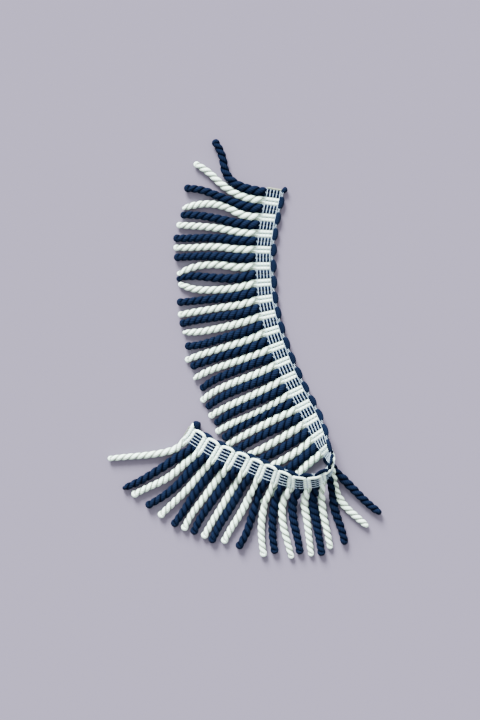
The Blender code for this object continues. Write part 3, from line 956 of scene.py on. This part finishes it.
def glue_material(colour):
    """Set glue on the cut warp: cream, slightly glossy and lumpy."""
    m = Nodes("end_glue")
    lumps = m.noise(PATCH_SCALE, 4.0)
    # Painted shade in the hollows of the glue's lumps.
    hollow_shade = [c * GLUE_SHADE for c in colour]
    m.link(m.blend(lumps, hollow_shade, colour), m.shader.inputs["Base Color"])
    m.bump(lumps, 0.6, 0.3 * MM)
    m.shader.inputs["Roughness"].default_value = 0.5
    return m.material


def paper_material(colour):
    """Smooth card under the fringe, with a very faint tooth."""
    m = Nodes("card")
    m.bump(m.noise(TOOTH_SCALE, 2.0), 0.02, 0.1 * MM)
    m.shader.inputs["Base Color"].default_value = (*colour, 1)
    m.shader.inputs["Roughness"].default_value = 0.9
    m.shader.inputs["Specular IOR Level"].default_value = 0.1
    return m.material


class FringeSizes(PropertyGroup):
    """Sizes that a user would change, in metres."""

    rope_fullness: FloatProperty(
        name="Rope fullness", description="Width of the wound ropes against that of the solids",
        default=1.0, min=0.8, max=1.1, subtype="FACTOR")
    ring_step: FloatProperty(
        name="Ring step", description="Distance between the rings of a rope",
        default=0.85 * MM, precision=5, subtype="DISTANCE", unit="LENGTH")
    front_thread_width: FloatProperty(
        name="Front thread width", description="Width of each warp thread of a pair on the front",
        default=0.32 * MM, precision=5, subtype="DISTANCE", unit="LENGTH")
    back_thread_width: FloatProperty(
        name="Back thread width", description="Width of each warp thread of a pair on the back",
        default=0.27 * MM, precision=5, subtype="DISTANCE", unit="LENGTH")
    edge_thread_width: FloatProperty(
        name="Edge thread width", description="Width of the crossed threads at the heading's edges",
        default=0.34 * MM, precision=5, subtype="DISTANCE", unit="LENGTH")
    thread_thickness: FloatProperty(
        name="Thread thickness", description="Thickness of every warp thread",
        default=0.38 * MM, precision=5, subtype="DISTANCE", unit="LENGTH")
    key_strength: FloatProperty(
        name="Key light", description="Strength of the light beyond the fringe's first end",
        default=25.5)
    room_light: FloatProperty(
        name="Room light", description="Strength of the even light from all round", default=2.3)
    cord_sides: IntProperty(
        name="Cord sides", description="Sides of a cord's section", default=14, min=6)
    thread_sides: IntProperty(
        name="Thread sides", description="Sides of a thread's section", default=5, min=4)


class FringeColours(PropertyGroup):
    """Colours that a user would change."""

    # Shade colours: painted shade between threads, and random darker patches. Crease colours:
    # painted shade.
    navy: FloatVectorProperty(
        name="Navy", description="The dark cord's threads",
        default=(0.0040, 0.0079, 0.0205), subtype="COLOR")
    navy_shade: FloatVectorProperty(
        name="Navy shade", description="The dark cord between its threads",
        default=(0.0015, 0.0030, 0.0085), subtype="COLOR")
    navy_crease: FloatVectorProperty(
        name="Navy crease", description="The dark cord where its plies meet",
        default=(0.0003, 0.0006, 0.0024), subtype="COLOR")
    ivory: FloatVectorProperty(
        name="Ivory", description="The light cord's threads",
        default=(0.70, 0.92, 0.80), subtype="COLOR")
    ivory_shade: FloatVectorProperty(
        name="Ivory shade", description="The light cord between its threads",
        default=(0.55, 0.74, 0.63), subtype="COLOR")
    ivory_crease: FloatVectorProperty(
        name="Ivory crease", description="The light cord where its plies meet",
        default=(0.12, 0.15, 0.115), subtype="COLOR")
    warp: FloatVectorProperty(
        name="Warp", description="The warp threads",
        default=(0.37, 0.50, 0.61), subtype="COLOR")
    glue: FloatVectorProperty(
        name="Glue", description="The glue on the cut ends",
        default=(0.133, 0.15, 0.11), subtype="COLOR")
    card: FloatVectorProperty(
        name="Card", description="The card under the fringe",
        default=(0.1127, 0.102, 0.1413), subtype="COLOR")


def wound_cord(context, colour):
    """The whole piece of one cord, in its yarn."""
    sizes = context.scene.fringe_sizes
    colours = context.scene.fringe_colours
    shades = [getattr(colours, colour + part) for part in ("", "_shade", "_crease")]
    yarn = yarn_material(f"{colour}_yarn", *shades, WRAPS[colour])
    return wind(f"{colour}_cord", [cord_rings(colour, sizes)], sizes.cord_sides, yarn)


def place_on_root(piece, node):
    """The piece rides on the root, in place of this node, which is hidden."""
    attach(piece, "root")
    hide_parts(node)


class FRINGE_OT_navy_cord(Operator):
    """Winds the navy cord: its strands, its legs and its loops on the front"""

    bl_idname = "fringe.navy_cord"
    bl_label = "Wind navy cord"

    def execute(self, context):
        place_on_root(wound_cord(context, "navy"), "navy_weft")
        return {"FINISHED"}


class FRINGE_OT_ivory_cord(Operator):
    """Winds the ivory cord: its strands, its legs and its loops on the back"""

    bl_idname = "fringe.ivory_cord"
    bl_label = "Wind ivory cord"

    def execute(self, context):
        place_on_root(wound_cord(context, "ivory"), "ivory_weft")
        return {"FINISHED"}


class FRINGE_OT_warp_threads(Operator):
    """Weaves the warp threads of the heading over and under the legs"""

    bl_idname = "fringe.warp_threads"
    bl_label = "Weave warp threads"

    def execute(self, context):
        sizes = context.scene.fringe_sizes
        colour = context.scene.fringe_colours.warp
        # Painted shade between the warp's threads and in its creases.
        shade = [c * WARP_SHADE for c in colour]
        crease = [c * WARP_CREASE_SHADE for c in colour]
        yarn = yarn_material("warp_yarn", colour, shade, crease, WRAPS["warp"])
        piece = wind("warp_threads", warp_lines(sizes), sizes.thread_sides, yarn)
        place_on_root(piece, "heading_warp")
        return {"FINISHED"}


class FRINGE_OT_glued_ends(Operator):
    """Sets the glue that holds the warp's cut ends"""

    bl_idname = "fringe.glued_ends"
    bl_label = "Set glued ends"

    def execute(self, context):
        shape = bmesh.new()
        for bar in GLUE_BARS:
            corners = np.array(bar) * ((1,), (MM,), (MM,))
            made = bmesh.ops.create_cube(shape, size=1.0)["verts"]
            for vertex in made:
                shares = np.array(vertex.co) + 0.5
                vertex.co = corners[:, 0] + (corners[:, 1] - corners[:, 0]) * shares
            across = {edge for vertex in made for edge in vertex.link_edges
                      if abs(edge.verts[0].co.y - edge.verts[1].co.y) > MM}
            bmesh.ops.subdivide_edges(shape, edges=list(across), cuts=GLUE_CUTS, use_grid_fill=True)
        for vertex in shape.verts:
            vertex.co = in_heading(*vertex.co)
            lump = noise.noise(vertex.co * PATCH_SCALE)
            vertex.co += Vector(GLUE_LUMPS) * lump * MM
            vertex.co.z = max(vertex.co.z, GLUE_LOWEST)
        bmesh.ops.recalc_face_normals(shape, faces=shape.faces)
        mesh = bpy.data.meshes.new("end_glue")
        shape.to_mesh(mesh)
        shape.free()
        piece = add_object("end_glue", mesh)
        rounding = piece.modifiers.new("Rounding", "SUBSURF")
        rounding.levels = GLUE_ROUNDING
        rounding.render_levels = GLUE_ROUNDING
        mesh.materials.append(glue_material(context.scene.fringe_colours.glue))
        mesh.shade_smooth()
        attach(piece, "root")
        return {"FINISHED"}


class FRINGE_OT_studio(Operator):
    """Lays the card, and sets the soft lights and the camera above it"""

    bl_idname = "fringe.studio"
    bl_label = "Set studio"

    def execute(self, context):
        scene = context.scene
        shape = bmesh.new()
        bmesh.ops.create_grid(shape, x_segments=1, y_segments=1, size=CARD_HALF)
        mesh = bpy.data.meshes.new("card")
        shape.to_mesh(mesh)
        shape.free()
        mesh.materials.append(paper_material(scene.fringe_colours.card))
        add_object("card", mesh)

        key = bpy.data.lights.new("key_light", "SUN")
        key.energy = scene.fringe_sizes.key_strength
        key.angle = radians(KEY_SPREAD)
        turned = (-Vector(KEY_FROM)).to_track_quat("-Z", "Y").to_euler()
        add_object("key_light", key).rotation_euler = turned
        world = bpy.data.worlds.new("studio")
        world.use_nodes = True
        tree = world.node_tree
        room = tree.nodes["Background"]
        room.inputs["Color"].default_value = (1.0, 1.0, 1.0, 1)
        way = tree.nodes.new("ShaderNodeSeparateXYZ")
        tree.links.new(tree.nodes.new("ShaderNodeTexCoord").outputs["Generated"], way.inputs[0])
        tilt = number_math(tree, "MULTIPLY", way.outputs["Y"], ROOM_TILT)
        share = number_math(tree, "ADD", tilt, 1.0)
        strength = number_math(tree, "MULTIPLY", share, scene.fringe_sizes.room_light)
        tree.links.new(strength, room.inputs["Strength"])
        scene.world = world

        camera = bpy.data.cameras.new("above")
        camera.sensor_fit = "VERTICAL"
        camera.sensor_height = 36.0
        camera.lens = camera.sensor_height * CAMERA_HEIGHT / (PHOTO_HEIGHT * PIXEL)
        camera.clip_start = 0.05
        camera.clip_end = 20.0
        scene.camera = add_object("above", camera)
        scene.camera.location = (*PHOTO_CENTRE, CAMERA_HEIGHT)
        return {"FINISHED"}


STEPS = (
    FRINGE_OT_studio,
    FRINGE_OT_navy_cord,
    FRINGE_OT_ivory_cord,
    FRINGE_OT_warp_threads,
    FRINGE_OT_glued_ends,
)


class FRINGE_PT_panel(Panel):
    """The fringe's steps, sizes and colours"""

    bl_idname = "FRINGE_PT_panel"
    bl_label = "Bullion fringe"
    bl_space_type = "VIEW_3D"
    bl_region_type = "UI"
    bl_category = "Fringe"

    def draw(self, context):
        column = self.layout.column()
        for step in STEPS:
            column.operator(step.bl_idname)
        for group in (context.scene.fringe_sizes, context.scene.fringe_colours):
            box = self.layout.box()
            for name in group.__annotations__:
                box.prop(group, name)


CLASSES = (FringeSizes, FringeColours, *STEPS, FRINGE_PT_panel)


def register():
    for cls in CLASSES:
        bpy.utils.register_class(cls)
    bpy.types.Scene.fringe_sizes = PointerProperty(type=FringeSizes)
    bpy.types.Scene.fringe_colours = PointerProperty(type=FringeColours)


def unregister():
    del bpy.types.Scene.fringe_colours
    del bpy.types.Scene.fringe_sizes
    for cls in reversed(CLASSES):
        bpy.utils.unregister_class(cls)


def main():
    register()
    for step in STEPS:
        group, name = step.bl_idname.split(".")
        getattr(getattr(bpy.ops, group), name)()


if __name__ == "__main__":
    main()
